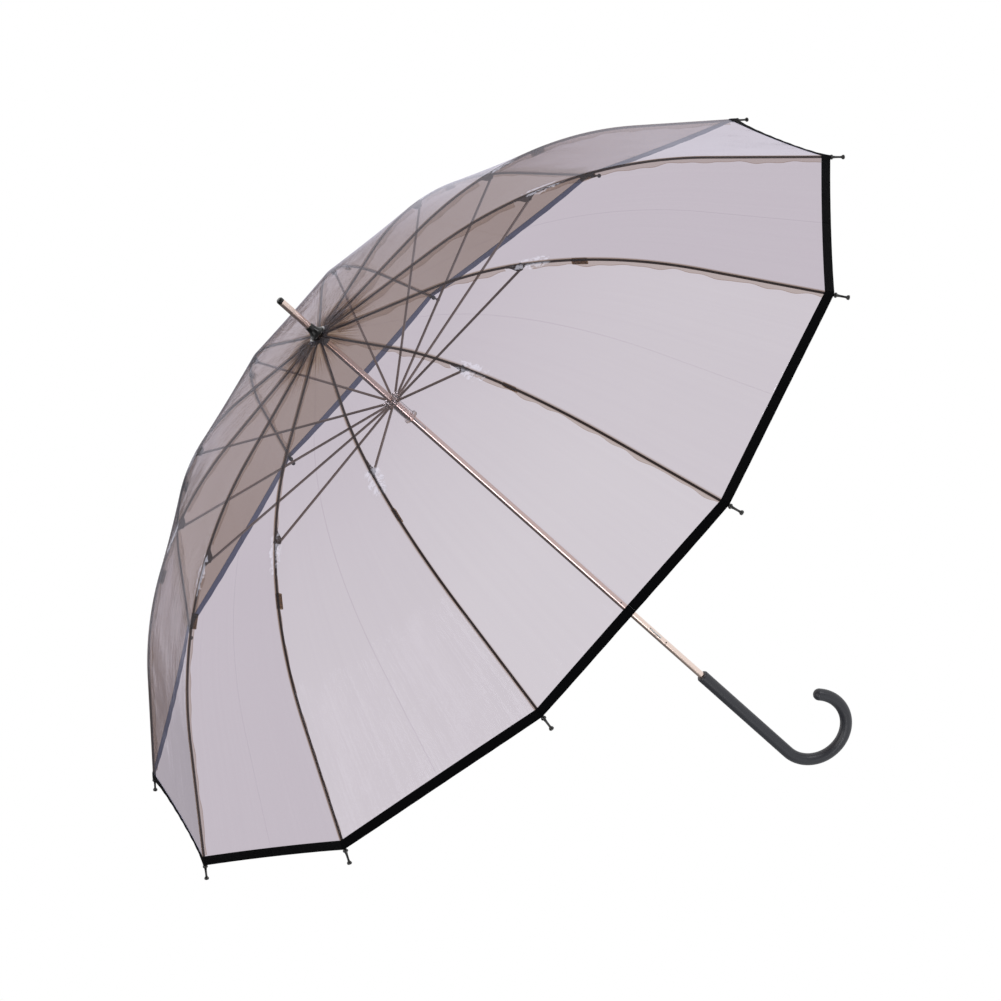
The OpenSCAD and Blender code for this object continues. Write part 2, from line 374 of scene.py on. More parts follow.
def scaleAdd(nodes, links, value, factor, onto):
    # value * factor + onto, where onto is a number or a socket
    node = nodes.new("ShaderNodeMath")
    node.operation = "MULTIPLY_ADD"
    links.new(value, node.inputs[0])
    node.inputs[1].default_value = factor
    if isinstance(onto, (int, float)):
        node.inputs[2].default_value = onto
    else:
        links.new(onto, node.inputs[2])
    return node.outputs["Value"]


def bandMask(nodes, links, distance, width):
    # 1 where a distance is 0, falling smoothly to 0 at the width
    node = nodes.new("ShaderNodeMapRange")
    node.interpolation_type = "SMOOTHSTEP"
    node.inputs["From Min"].default_value = 0
    node.inputs["From Max"].default_value = width
    node.inputs["To Min"].default_value = 1
    node.inputs["To Max"].default_value = 0
    links.new(distance, node.inputs["Value"])
    return node.outputs["Result"]


def makeStreakGroup():
    # noise drawn out along lines that run from the shaft's axis, which is the object's own Z axis
    group, given, made = nodeGroup(
        "radialStreaks",
        [("Around", "NodeSocketFloat", 14.0), ("Along", "NodeSocketFloat", 5.0)],
        [("Fac", "NodeSocketFloat")],
    )
    nodes, links = group.nodes, group.links
    coord = nodes.new("ShaderNodeTexCoord")
    flat = nodes.new("ShaderNodeVectorMath")
    flat.operation = "MULTIPLY"
    flat.inputs[1].default_value = (1, 1, 0)
    unit = nodes.new("ShaderNodeVectorMath")
    unit.operation = "NORMALIZE"
    spread = nodes.new("ShaderNodeVectorMath")
    spread.operation = "SCALE"
    radius = nodes.new("ShaderNodeVectorMath")
    radius.operation = "LENGTH"
    rise = nodes.new("ShaderNodeMath")
    rise.operation = "MULTIPLY"
    lift = nodes.new("ShaderNodeCombineXYZ")
    place = nodes.new("ShaderNodeVectorMath")
    place.operation = "ADD"
    noise = nodes.new("ShaderNodeTexNoise")
    noise.inputs["Scale"].default_value = 1
    noise.inputs["Detail"].default_value = 4
    noise.inputs["Roughness"].default_value = 0.62
    links.new(coord.outputs["Object"], flat.inputs[0])
    links.new(flat.outputs["Vector"], unit.inputs[0])
    links.new(unit.outputs["Vector"], spread.inputs[0])
    links.new(given.outputs["Around"], spread.inputs["Scale"])
    links.new(flat.outputs["Vector"], radius.inputs[0])
    links.new(radius.outputs["Value"], rise.inputs[0])
    links.new(given.outputs["Along"], rise.inputs[1])
    links.new(rise.outputs["Value"], lift.inputs["Z"])
    links.new(spread.outputs["Vector"], place.inputs[0])
    links.new(lift.outputs["Vector"], place.inputs[1])
    links.new(place.outputs["Vector"], noise.inputs["Vector"])
    links.new(noise.outputs["Fac"], made.inputs["Fac"])
    return group


streakGroup = makeStreakGroup()

def mathNode(nodes, links, operation, first, second=None):
    # one math node, each of whose inputs is a number or a socket
    node = nodes.new("ShaderNodeMath")
    node.operation = operation
    for socket, value in zip(node.inputs, (first, second)):
        if isinstance(value, (int, float)):
            socket.default_value = value
        elif value is not None:
            links.new(value, socket)
    return node.outputs["Value"]


def spanMask(nodes, links, value, span):
    # 0 up to the span's start, rising evenly to 1 at its end
    node = nodes.new("ShaderNodeMapRange")
    node.inputs["From Min"].default_value, node.inputs["From Max"].default_value = span
    links.new(value, node.inputs["Value"])
    return node.outputs["Result"]


def noiseNode(nodes, links, place, scale, detail, distortion=0.0):
    node = nodes.new("ShaderNodeTexNoise")
    node.inputs["Scale"].default_value = scale
    node.inputs["Detail"].default_value = detail
    node.inputs["Distortion"].default_value = distortion
    links.new(place, node.inputs["Vector"])
    return node.outputs["Fac"]


def colourMix(nodes, links, factor, first, second):
    # from the first colour to the second, where the first may be a socket
    node = nodes.new("ShaderNodeMix")
    node.data_type = "RGBA"
    links.new(factor, node.inputs["Factor"])
    if isinstance(first, tuple):
        node.inputs["A"].default_value = (*first, 1)
    else:
        links.new(first, node.inputs["A"])
    node.inputs["B"].default_value = (*second, 1)
    return node.outputs["Result"]


clearFilm = {
    # seen from outside: the film's own brownish tint with a lavender painted sheen in it
    "tintOutsideWithSheen": (0.645, 0.600, 0.647),
    "tintInside": (0.655, 0.58, 0.505),
    "tintFolded": (0.60, 0.525, 0.47),  # film lying on film, at welds and folds
    "hazeTone": (0.70, 0.64, 0.70),
    "haze": 0.025,  # share of the haze tone
    "depth": 0.93,  # depth of film seen square on
    "slant": 1.0,  # extra depth of film at a slanting view
    "slantMost": 0.5,  # slant beyond which it grows no deeper
    "gather": 2.4,  # extra depth in the folds at the hub
    "gatherEven": 0.12,  # and between them
    "gatherSpan": (0.49, 0.60),  # part of the streaks that counts as a fold
    "gatherStreaks": {"Around": 58.0, "Along": 9.0},
    "seam": 1.3,  # extra depth along a rib's weld
    "seamWidth": 0.0036,
    "seamTint": 0.9,
    "crease": 0.22,  # extra depth along the middle of a gore
    "creaseWidth": 0.0011,
    "streak": 0.10,
    "faintStreaks": {"Around": 70.0, "Along": 3.0},
    "crumpleAt": 0.285,  # distance along the rib of the crinkles round the bracket
    "crumpleReach": 0.055,  # how far they go along the rib
    "crumpleWidth": 0.024,  # and to each side
    "crumpleScale": 150,
    "glint": 0.36,  # extra shine of the crinkles
    "glintSpan": (0.32, 0.40),
    "rippleScale": 9,
    "mirrorTone": (0.88, 0.87, 1.0),
    "mirrorFlat": 0.012,  # share mirrored head on
    "mirrorEdge": 0.85,  # and at a glancing view
    "mirrorPower": 6.0,
    "mirrorRoughness": 0.06,
}
filmHeight = {"ripple": 1.0, "streak": 0.10, "fold": 0.12, "crumple": 0.35}


def filmMaterial():
    # tinted film: what is behind shows through tint to the power of the film's depth, under a thin gloss
    material = bpy.data.materials.new("clearFilm")
    material.use_nodes = True
    nodes, links = material.node_tree.nodes, material.node_tree.links
    shader = nodes["Principled BSDF"]
    shader.inputs["Base Color"].default_value = (*clearFilm["hazeTone"], 1)
    shader.inputs["Roughness"].default_value = 0.3
    coord = nodes.new("ShaderNodeTexCoord")
    uv = nodes.new("ShaderNodeUVMap")
    fromHub = nodes.new("ShaderNodeSeparateXYZ")  # X along the rib and Y away from it, in metres
    links.new(uv.outputs["UV"], fromHub.inputs["Vector"])
    alongRib, besideRib = fromHub.outputs["X"], fromHub.outputs["Y"]
    middle = nodes.new("ShaderNodeAttribute")
    middle.attribute_name = "fromMiddle"

    seam = bandMask(nodes, links, besideRib, clearFilm["seamWidth"])
    crease = bandMask(nodes, links, middle.outputs["Fac"], clearFilm["creaseWidth"])
    hub = bandMask(nodes, links, alongRib, dome["gatherReach"])
    folds = addGroup(material, streakGroup, **clearFilm["gatherStreaks"]).outputs["Fac"]
    folds = mathNode(nodes, links, "MULTIPLY", hub, spanMask(nodes, links, folds, clearFilm["gatherSpan"]))
    streaks = addGroup(material, streakGroup, **clearFilm["faintStreaks"]).outputs["Fac"]
    facing = nodes.new("ShaderNodeLayerWeight")
    facing.inputs["Blend"].default_value = 0.5
    slant = mathNode(nodes, links, "MINIMUM", facing.outputs["Facing"], clearFilm["slantMost"])

    depth = clearFilm["depth"] - clearFilm["streak"] / 2
    for mask, amount in (
        (slant, clearFilm["slant"]),
        (folds, clearFilm["gather"]),
        (hub, clearFilm["gatherEven"]),
        (seam, clearFilm["seam"]),
        (crease, clearFilm["crease"]),
        (streaks, clearFilm["streak"]),
    ):
        depth = scaleAdd(nodes, links, mask, amount, depth)
    # the tint seen from outside carries a lavender painted sheen
    back = nodes.new("ShaderNodeNewGeometry").outputs["Backfacing"]
    tint = colourMix(nodes, links, back, clearFilm["tintOutsideWithSheen"], clearFilm["tintInside"])
    doubled = scaleAdd(nodes, links, seam, clearFilm["seamTint"], hub)
    tint = colourMix(nodes, links, doubled, tint, clearFilm["tintFolded"])
    gamma = nodes.new("ShaderNodeGamma")
    links.new(tint, gamma.inputs["Color"])
    links.new(depth, gamma.inputs["Gamma"])
    through = nodes.new("ShaderNodeBsdfTransparent")
    links.new(gamma.outputs["Color"], through.inputs["Color"])

    fromCrumple = mathNode(nodes, links, "SUBTRACT", alongRib, clearFilm["crumpleAt"])
    fromCrumple = mathNode(nodes, links, "ABSOLUTE", fromCrumple)
    crumpled = mathNode(
        nodes,
        links,
        "MULTIPLY",
        bandMask(nodes, links, fromCrumple, clearFilm["crumpleReach"]),
        bandMask(nodes, links, besideRib, clearFilm["crumpleWidth"]),
    )
    crinkles = noiseNode(nodes, links, coord.outputs["Object"], clearFilm["crumpleScale"], 3, 0.8)
    crumpled = mathNode(nodes, links, "MULTIPLY", crumpled, crinkles)
    ripples = noiseNode(nodes, links, coord.outputs["Object"], clearFilm["rippleScale"], 2)
    height = 0.0
    for mask, name in ((ripples, "ripple"), (streaks, "streak"), (folds, "fold"), (crumpled, "crumple")):
        height = scaleAdd(nodes, links, mask, filmHeight[name], height)
    bump = addBump(material, height, 0.6, 0.010)

    gloss = nodes.new("ShaderNodeBsdfGlossy")
    gloss.inputs["Roughness"].default_value = clearFilm["mirrorRoughness"]
    gloss.inputs["Color"].default_value = (*clearFilm["mirrorTone"], 1)
    links.new(bump.outputs["Normal"], gloss.inputs["Normal"])
    steep = mathNode(nodes, links, "POWER", facing.outputs["Facing"], clearFilm["mirrorPower"])
    mirror = scaleAdd(nodes, links, steep, clearFilm["mirrorEdge"], clearFilm["mirrorFlat"])
    offSeam = scaleAdd(nodes, links, seam, -1.0, 1.0)
    glints = spanMask(nodes, links, crumpled, clearFilm["glintSpan"])
    glints = mathNode(nodes, links, "MULTIPLY", glints, offSeam)
    mirror = scaleAdd(nodes, links, glints, clearFilm["glint"], mirror)
    body = nodes.new("ShaderNodeMixShader")
    body.inputs["Fac"].default_value = clearFilm["haze"]
    links.new(through.outputs["BSDF"], body.inputs[1])
    links.new(shader.outputs["BSDF"], body.inputs[2])
    coat = nodes.new("ShaderNodeMixShader")
    links.new(mirror, coat.inputs["Fac"])
    links.new(body.outputs["Shader"], coat.inputs[1])
    links.new(gloss.outputs["BSDF"], coat.inputs[2])
    links.new(coat.outputs["Shader"], nodes["Material Output"].inputs["Surface"])
    return material


stripEdge = {"width": 0.0007, "depth": 2.4}  # the darker line along a strip's free edge


def stripMaterial(name, tint, haze, tone):
    # a strip of film on film: tinted and see-through, mixed with a little of its own tone
    material, nodes, links, shader = newMaterial(name, Roughness=0.2)
    grain = addGroup(material, grainGroup, Scale=160.0, Detail=4.0)
    addBump(material, grain.outputs["Height"], 0.5, 0.002)
    toneBetween(material, grain.outputs["Mask"], tuple(0.8 * c for c in tone), tone, "Base Color")
    edge = nodes.new("ShaderNodeAttribute")
    edge.attribute_name = "fromEdge"
    line = bandMask(nodes, links, edge.outputs["Fac"], stripEdge["width"])
    gamma = nodes.new("ShaderNodeGamma")
    gamma.inputs["Color"].default_value = (*tint, 1)
    links.new(scaleAdd(nodes, links, line, stripEdge["depth"], 1.0), gamma.inputs["Gamma"])
    through = nodes.new("ShaderNodeBsdfTransparent")
    links.new(gamma.outputs["Color"], through.inputs["Color"])
    mix = nodes.new("ShaderNodeMixShader")
    mix.inputs["Fac"].default_value = haze
    links.new(through.outputs["BSDF"], mix.inputs[1])
    links.new(shader.outputs["BSDF"], mix.inputs[2])
    links.new(mix.outputs["Shader"], nodes["Material Output"].inputs["Surface"])
    return material


def metalMaterial():
    # polished tube with faint lengthwise drawing marks
    material, nodes, links, _ = newMaterial(
        "champagneSteel", Metallic=1.0, Coat_Weight=0.2, Coat_Roughness=0.05
    )
    coord = nodes.new("ShaderNodeTexCoord")
    stretch = nodes.new("ShaderNodeMapping")
    stretch.inputs["Scale"].default_value = (240, 240, 5)  # marks 4 mm wide and 20 cm long
    links.new(coord.outputs["Object"], stretch.inputs["Vector"])
    marks = noiseNode(nodes, links, stretch.outputs["Vector"], 1, 3)
    addBump(material, marks, 0.02, 0.0001)
    toneBetween(material, marks, finish["metalWarm"], finish["metalPale"], "Base Color")
    toneBetween(material, marks, 0.16, 0.22, "Roughness")
    return material


def paintedMaterial(name, low, high, roughness, grainScale, metallic=0.0, bump=0.15):
    # paint or moulding with a fine grain and slow changes of tone
    material = newMaterial(name, Metallic=metallic, IOR=1.5)[0]
    grain = addGroup(material, grainGroup, Scale=grainScale, Detail=3.0)
    addBump(material, grain.outputs["Height"], bump, 0.0003)
    toneBetween(material, grain.outputs["Mask"], low, high, "Base Color")
    toneBetween(material, grain.outputs["Mask"], roughness, roughness + 0.12, "Roughness")
    return material


def tapeMaterial(name, tone):
    # matt woven tape: the weave shows as relief and as a change of tone
    material = newMaterial(name, Base_Color=tone, Roughness=0.75, Specular_IOR_Level=0.04)[0]
    weave = addGroup(material, weaveGroup)
    addBump(material, weave.outputs["Height"], 0.6, 0.0002)
    low, high = (tuple(share * c for c in tone) for share in (0.7, 1.2))
    toneBetween(material, weave.outputs["Height"], low, high, "Base Color")
    return material


def clearPlasticMaterial():
    # polished clear moulding, a little duller in patches
    material = newMaterial(
        "clearPlastic", Base_Color=(0.97, 0.94, 0.94), IOR=1.46, Transmission_Weight=1.0
    )[0]
    grain = addGroup(material, grainGroup, Scale=300.0, Detail=2.0)
    addBump(material, grain.outputs["Height"], 0.05, 0.0003)
    toneBetween(material, grain.outputs["Mask"], 0.05, 0.12, "Roughness")
    return material


# every material, by what it is used for
film = filmMaterial()
seamFilm = stripMaterial("seamFilm", (0.78, 0.71, 0.64), 0.05, (0.38, 0.29, 0.23))
metal = metalMaterial()
clearPlastic = clearPlasticMaterial()
ribPaint = paintedMaterial("ribPaint", finish["ribBrown"], finish["ribWorn"], 0.32, 500.0)
stretcherPaint = paintedMaterial(
    "stretcherPaint", finish["stretcherGrey"], finish["stretcherPale"], 0.34, 500.0, 0.4
)
blackPlastic = paintedMaterial("blackPlastic", (0.003, 0.003, 0.003), (0.007, 0.007, 0.007), 0.16, 700.0)
hubPlastic = paintedMaterial("hubPlastic", (0.022, 0.02, 0.02), (0.034, 0.031, 0.03), 0.4, 600.0)
wireSteel = paintedMaterial("wireSteel", (0.62, 0.60, 0.60), (0.74, 0.73, 0.73), 0.2, 800.0, 1.0, 0.05)
gripSkin = paintedMaterial("gripSkin", finish["gripSlate"], finish["gripWorn"], 0.36, 1500.0, 0.0, 0.08)
tabFilm = stripMaterial("tabFilm", (0.88, 0.84, 0.78), 0.10, finish["tabOlive"])
tapeOutside = tapeMaterial("tapeOutside", finish["tapeBlack"])
# the hem tape's inside faces: black tape given a blue-grey painted sheen
tapeInsidePaintedSheen = tapeMaterial("tapeInsidePaintedSheen", finish["tapeInsidePaintedSheen"])
print("materials made")


# materials of the CAD parts that stay; all others are replaced by pieces built below
cadFinish = {
    "shaft_tube": metal,
    "ferrule_tube": metal,
    "ferrule_cap": blackPlastic,
    "top_collar": blackPlastic,
    "canopy_washer": clearPlastic,
    "rib_hub": hubPlastic,
    "hub_wire": wireSteel,
    "runner": clearPlastic,
    "runner_wire": wireSteel,
    "top_catch": wireSteel,
    "bottom_catch": wireSteel,
    "handle": gripSkin,
    "stretcher": stretcherPaint,
}
for name, node in frame["nodes"].items():
    material = cadFinish.get(name) or cadFinish.get(name.rsplit("_", 1)[0])
    if material is not None:
        for place in node.material_slots:
            place.material = material


# the rib's curve starts at the hinge on the hub
hubPoint = Vector(joints["rib_hinge_01"]["pos_m"])
hubRadius = math.hypot(hubPoint.x, hubPoint.y)
halfGore = math.pi / ribCount
crownSlope, rimSlope = math.radians(dome["crownSlope"]), math.radians(dome["rimSlope"])
arcRadius = (dome["curveEnd"] - dome["crownRun"]) / (rimSlope - crownSlope)


def ribCurve(s):
    # straight, arc, straight: radius from the shaft, height and slope at a distance along the rib
    s = np.asarray(s, float)
    slope = crownSlope + np.clip(s - dome["crownRun"], 0, dome["curveEnd"] - dome["crownRun"]) / arcRadius
    first = np.minimum(s, dome["crownRun"])
    last = np.maximum(s - dome["curveEnd"], 0)
    radius = hubRadius + first * math.cos(crownSlope) + arcRadius * (np.sin(slope) - math.sin(crownSlope))
    height = -first * math.sin(crownSlope) + arcRadius * (np.cos(slope) - math.cos(crownSlope))
    return radius + last * math.cos(rimSlope), hubPoint.z + height - last * math.sin(rimSlope), slope


sTable = np.linspace(-0.01, 0.63, 1281)
radiusTable = ribCurve(sTable)[0]


def ribFrame(number):
    # unit vectors outward and round the shaft at one rib
    place = joints[f"rib_hinge_{number:02d}"]["pos_m"]
    a = math.atan2(place[1], place[0])
    return np.array([math.cos(a), math.sin(a), 0]), np.array([-math.sin(a), math.cos(a), 0])


def onRib(number, s, lift=0.0, aside=0.0):
    # a point beside the rib: lift is along the film's normal, aside is round the shaft
    outward, around = ribFrame(number)
    radius, height, slope = ribCurve(s)
    lift, aside = np.asarray(lift, float), np.asarray(aside, float)
    reach = radius + lift * np.sin(slope)
    rise = height + lift * np.cos(slope)
    reach, rise, aside = np.broadcast_arrays(reach, rise, aside)
    return reach[..., None] * outward + aside[..., None] * around + rise[..., None] * np.array([0, 0, 1.0])


hemTape = {
    "width": 0.010,
    "thick": 0.0007,
    "bulge": 0.0003,
    "squareness": 0.35,  # power that flattens the band's round section
    "overhang": 0.0004,  # past the film's edge
    "innerFrom": -0.2,  # sine of the section's angle below which the inside's painted sheen shows
    "steps": 40,
}


def filmSurface(number, side, s, v, lift=None):
    # v runs from the rib (0) to the gore's middle (1) along the chord between two ribs
    outward, around = ribFrame(number)
    lift = dome["filmLift"] if lift is None else lift
    radius, height, slope = ribCurve(s)
    sag = dome["sag"] * np.clip(s / dome["ribLength"], 0, 1) * (1 - (1 - v) ** 2)
    first, last = dome["pleatRise"]
    pleat = dome["gatherPleat"] * gatherAt(s) * np.clip((s - first) / (last - first), 0, 1)
    pleat = pleat * np.sin(np.pi * 4 * v) ** 2
    flutter = 1 + dome["hemFlutter"] * np.sin(9 * np.pi * v + 2.1 * number + side)
    pastTape = np.maximum(s - hemEdge(v) + hemTape["width"], 0)
    curl = dome["hemCurl"] * flutter * pastTape * (1 - (1 - v) ** 4)
    off = lift - sag + pleat - curl
    reach = radius + off * np.sin(slope)
    rise = height + off * np.cos(slope)
    inward = reach * (1 - v * math.sin(halfGore) ** 2)
    aside = side * reach * v * math.sin(halfGore) * math.cos(halfGore)
    return inward[..., None] * outward + aside[..., None] * around + rise[..., None] * np.array([0, 0, 1.0])


def gatherAt(s):
    # 1 at the hub, falling to 0 at gatherReach
    return np.clip(1 - s / dome["gatherReach"], 0, 1) ** 1.5


def partingAt(v):
    # distance along the rib at which the film crosses the line of the bracket's hinge
    atBracket = ribCurve(dome["bracketAt"])[0]
    return np.interp(atBracket / (1 - v * math.sin(halfGore) ** 2), radiusTable, sTable)


def hemEdge(v):
    return dome["ribLength"] - dome["hemDip"] * (1 - (1 - v) ** 2)


def gridMesh(name, points, uv=None, closeAcross=False, closeAlong=False, flip=False, attributes=None):
    # quads over a grid of points, one vertex for each grid place, with an optional UV in metres
    rows, columns = points.shape[:2]
    index = np.arange(rows * columns).reshape(rows, columns)
    if closeAcross:
        index = np.concatenate([index, index[:, :1]], axis=1)
    if closeAlong:
        index = np.concatenate([index, index[:1]], axis=0)
    corners = [index[:-1, :-1], index[:-1, 1:], index[1:, 1:], index[1:, :-1]]
    quads = np.stack(corners, axis=-1).reshape(-1, 4)
    if flip:
        quads = quads[:, ::-1]
    mesh = bpy.data.meshes.new(name)
    mesh.from_pydata(points.reshape(-1, 3).tolist(), [], quads.tolist())
    mesh.polygons.foreach_set("use_smooth", np.ones(len(mesh.polygons), bool))
    if uv is not None:
        layer = mesh.uv_layers.new(name="UVMap")
        corner = np.empty(len(mesh.loops), np.int32)
        mesh.loops.foreach_get("vertex_index", corner)
        layer.data.foreach_set("uv", uv.reshape(-1, 2)[corner].astype(np.float32).ravel())
    for label, values in (attributes or {}).items():
        made = mesh.attributes.new(label, "FLOAT", "POINT")
        made.data.foreach_set("value", np.broadcast_to(values, (rows, columns)).astype(np.float32).ravel())
    mesh.update()
    return mesh


def addPiece(name, mesh, material, body=None):
    piece = bpy.data.objects.new(name, mesh)
    bpy.context.scene.collection.objects.link(piece)
    if not mesh.materials:
        mesh.materials.append(material)
    if body:
        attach(piece, body)
    return piece


def capEnds(mesh, rows, columns):
    # closes a tube's two ends with one face each
    work = bmesh.new()
    work.from_mesh(mesh)
    work.verts.ensure_lookup_table()
    work.faces.new([work.verts[k] for k in range(columns)][::-1])
    work.faces.new([work.verts[(rows - 1) * columns + k] for k in range(columns)])
    bmesh.ops.recalc_face_normals(work, faces=work.faces)
    work.to_mesh(mesh)
    work.free()


folding = {
    "keep": 0.02,  # share of a gore's width left when the umbrella is closed
    "innerLean": math.radians(-7),
    "outerLean": math.radians(-12),
    "innerChord": (0.0, dome["bracketAt"]),  # the stretch of the rib whose chord foldAcross works out
    "outerChord": (dome["bracketAt"], dome["ribLength"]),
}


def foldAcross(piece, number, ends):
    # works out the rib's chord, the line square to it and the chord's middle, and gives the piece a mesh of
    # its own
    around = ribFrame(number)[1]
    start, end = (onRib(number, s, dome["filmLift"]) for s in ends)
    along = (end - start) / np.linalg.norm(end - start)
    normal = np.cross(along, around)
    if normal[2] < 0:
        normal = -normal
    middle = onRib(number, np.linspace(*ends, 9), dome["filmLift"]).mean(axis=0)
    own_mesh(piece)


def filmPiece(number, side, part):
    label = "a" if side > 0 else "b"
    rows, columns = (70, 19) if part == "crown" else (80, 25)
    u = np.linspace(0, 1, rows)[:, None]
    v = np.linspace(0, 1, columns)[None, :]
    if part == "crown":
        s = dome["filmStart"] + u * (partingAt(v) - dome["filmStart"])
    else:
        s = partingAt(v) + u * (hemEdge(v) - partingAt(v))
    v = np.broadcast_to(v, s.shape)
    points = filmSurface(number, side, s, v)
    width = ribCurve(s)[0] * math.sin(halfGore)
    uv = np.stack([s, v * width], axis=-1)
    fromMiddle = (1 - v) * width
    mesh = gridMesh(
        f"film_{part}_{number:02d}{label}", points, uv, flip=side > 0, attributes={"fromMiddle": fromMiddle}
    )
    half = "inner" if part == "crown" else "outer"
    piece = addPiece(mesh.name, mesh, film, f"rib_{half}_{number:02d}")
    foldAcross(piece, number, folding[half + "Chord"])
    steps = np.linalg.norm(np.diff(points, axis=0)[:, :-1], axis=-1)
    across = np.linalg.norm(np.diff(points, axis=1)[:-1], axis=-1)
    return piece, float((steps * across).sum()), float(width.max()), float(np.ptp(s))


def hemPiece(number, side):
    # a flat closed band round the film's edge: rounded section carried along the edge from rib to mid-gore
    v = np.linspace(0, 1, hemTape["steps"])[:, None]
    turn = np.linspace(0, 2 * np.pi, 20, endpoint=False)[None, :]
    half = hemTape["width"] / 2
    along = half * np.sign(np.cos(turn)) * np.abs(np.cos(turn)) ** hemTape["squareness"]
    proud = (hemTape["thick"] / 2 + hemTape["bulge"]) * np.sin(turn)
    s = hemEdge(v) - half + along + hemTape["overhang"]
    points = filmSurface(number, side, s, np.broadcast_to(v, s.shape), dome["filmLift"] + proud)
    width = ribCurve(dome["ribLength"])[0] * math.sin(halfGore)
    uv = np.stack([np.broadcast_to(v * width, s.shape), np.broadcast_to(along, s.shape)], axis=-1)
    label = "a" if side > 0 else "b"
    mesh = gridMesh(f"hem_{number:02d}{label}", points, uv, closeAcross=True, flip=side > 0)
    mesh.materials.append(tapeOutside)
    mesh.materials.append(tapeInsidePaintedSheen)
    # faces below innerFrom show the inside's painted sheen
    below = np.sin(turn[0]) < hemTape["innerFrom"]
    inner = np.tile(below | np.roll(below, -1), hemTape["steps"] - 1)
    mesh.polygons.foreach_set("material_index", inner.astype(np.int32))
    capEnds(mesh, hemTape["steps"], turn.size)
    piece = addPiece(mesh.name, mesh, tapeOutside, f"rib_outer_{number:02d}")
    foldAcross(piece, number, folding["outerChord"])
    return piece


rod = {
    "radius": 0.0013,
    "groove": 0.0004,  # depth of the groove under the rod
    "grooveAngle": 0.45,
    "bend": 0.025,  # distance each side of the bracket at which ribPiece takes two points on the rib
    "around": 16,
    # start, end and number of stations along the rib
    "runs": ((0.0068, 0.24, 40), (0.243, 0.293, 20), (0.30, 0.604, 60)),
}


def sweep(name, number, s, section, closed=True, attributes=None):
    # carries a section (lift, aside) along the rib: section has one row for each s
    points = onRib(number, s[:, None], section[..., 0], section[..., 1])
    girth = np.cumsum(np.linalg.norm(np.diff(section, axis=1, prepend=section[:, -1:]), axis=-1), axis=1)
    uv = np.stack([np.broadcast_to(s[:, None], girth.shape), girth], axis=-1)
    return gridMesh(name, points, uv, closeAcross=closed, attributes=attributes)


def ribPiece(number):
    # a round rod with a shallow groove underneath, continuous over the bracket
    s = np.concatenate([np.linspace(*run) for run in rod["runs"]])
    turn = np.linspace(0, 2 * np.pi, rod["around"], endpoint=False)
    off = np.angle(np.exp(1j * (turn - np.pi)))
    r = rod["radius"] - rod["groove"] * np.exp(-((off / rod["grooveAngle"]) ** 2))
    section = np.stack([r * np.cos(turn), r * np.sin(turn)], axis=-1)[None].repeat(len(s), axis=0)
    mesh = sweep(f"rib_{number:02d}", number, s, section)
    capEnds(mesh, len(s), len(turn))
    piece = addPiece(mesh.name, mesh, ribPaint)
    start, end = (tuple(onRib(number, dome["bracketAt"] + d)) for d in (-rod["bend"], rod["bend"]))
    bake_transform(piece)
    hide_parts(f"rib_inner_{number:02d}", f"rib_outer_{number:02d}")
    return piece


eye = {
    "radius": 0.0015,
    "hole": 0.00078,
    "thick": 0.0015,
    "reach": 0.0072,  # length of the blade
    "bladeCosine": 0.55,
    "bladeLift": 0.85,
}


def eyePiece(number):
    # the flat eye on the hub wire: a ring that runs out into a blade, all one loop of section
    turn = np.linspace(0, 2 * np.pi, 40, endpoint=False)
    blade = np.cos(turn) > eye["bladeCosine"]
    lift = eye["radius"] * np.sin(turn) * np.where(blade, eye["bladeLift"], 1)
    outer = np.stack([np.where(blade, eye["reach"], eye["radius"] * np.cos(turn)), lift], axis=-1)
    inner = eye["hole"] * np.stack([np.cos(turn), np.sin(turn)], axis=-1)
    loops = [(inner, -1), (outer, -1), (outer, 1), (inner, 1)]
    rows = [onRib(number, loop[:, 0], loop[:, 1], sign * eye["thick"] / 2) for loop, sign in loops]
    mesh = gridMesh(f"rib_eye_{number:02d}", np.stack(rows), closeAcross=True, closeAlong=True)
    return addPiece(mesh.name, mesh, ribPaint, f"rib_inner_{number:02d}")


clip = {
    "length": 0.026,
    "drop": 0.0052,  # how far the cheeks hang under the rod
    "top": 0.0016,  # over the rod's centre line
    "wall": 0.0005,
    "halfWidth": 0.0020,
    "offset": 0.003,  # how far its middle lies toward the hub from the hinge
    "taper": 2.6,  # power by which the cheeks fall off toward the ends
    "shoulder": 0.0006,  # under the rod's centre line, where the cheeks start
    "cheek": 0.3,  # share of the outline in each cheek
    "pinDrop": 0.0045,
    "pinRadius": 0.0009,
}


def clipPiece(number):
    # a folded clip: an upside-down U round the rod whose cheeks taper toward its ends
    u = np.linspace(-1, 1, 25)
    taper = np.clip(1.15 * np.cos(u * np.pi / 2) ** clip["taper"], 0.03, 1)
    t = np.linspace(0, 1, 23)
    # outline of the U: down one cheek, over the rod, down the other
    cheek, shoulder = clip["cheek"], clip["shoulder"]
    arc = np.clip((t - cheek) / (1 - 2 * cheek), 0, 1) * np.pi
    leg = np.maximum(np.abs(2 * t - 1) - (1 - 2 * cheek), 0) / (2 * cheek)
    rows = []
    for inset in (0, clip["wall"]):
        width, top = clip["halfWidth"] - inset, clip["top"] - inset
        aside = -width * np.cos(arc)
        lift = (top + shoulder) * np.sin(arc) - shoulder - leg * clip["drop"]
        rows.append(np.stack([lift, aside], axis=-1))
    loop = np.concatenate([rows[0], rows[1][::-1]])
    section = np.empty((len(u), len(loop), 2))
    section[..., 1] = loop[None, :, 1] * (0.82 + 0.18 * taper[:, None])
    below = np.minimum(loop[None, :, 0], -shoulder) + shoulder
    section[..., 0] = np.maximum(loop[None, :, 0], -shoulder) + below * taper[:, None]
    s = dome["bracketAt"] - clip["offset"] + u * clip["length"] / 2
    mesh = sweep(f"bracket_{number:02d}", number, s, section)
    capEnds(mesh, len(s), len(loop))
    return addPiece(mesh.name, mesh, ribPaint, f"rib_inner_{number:02d}")


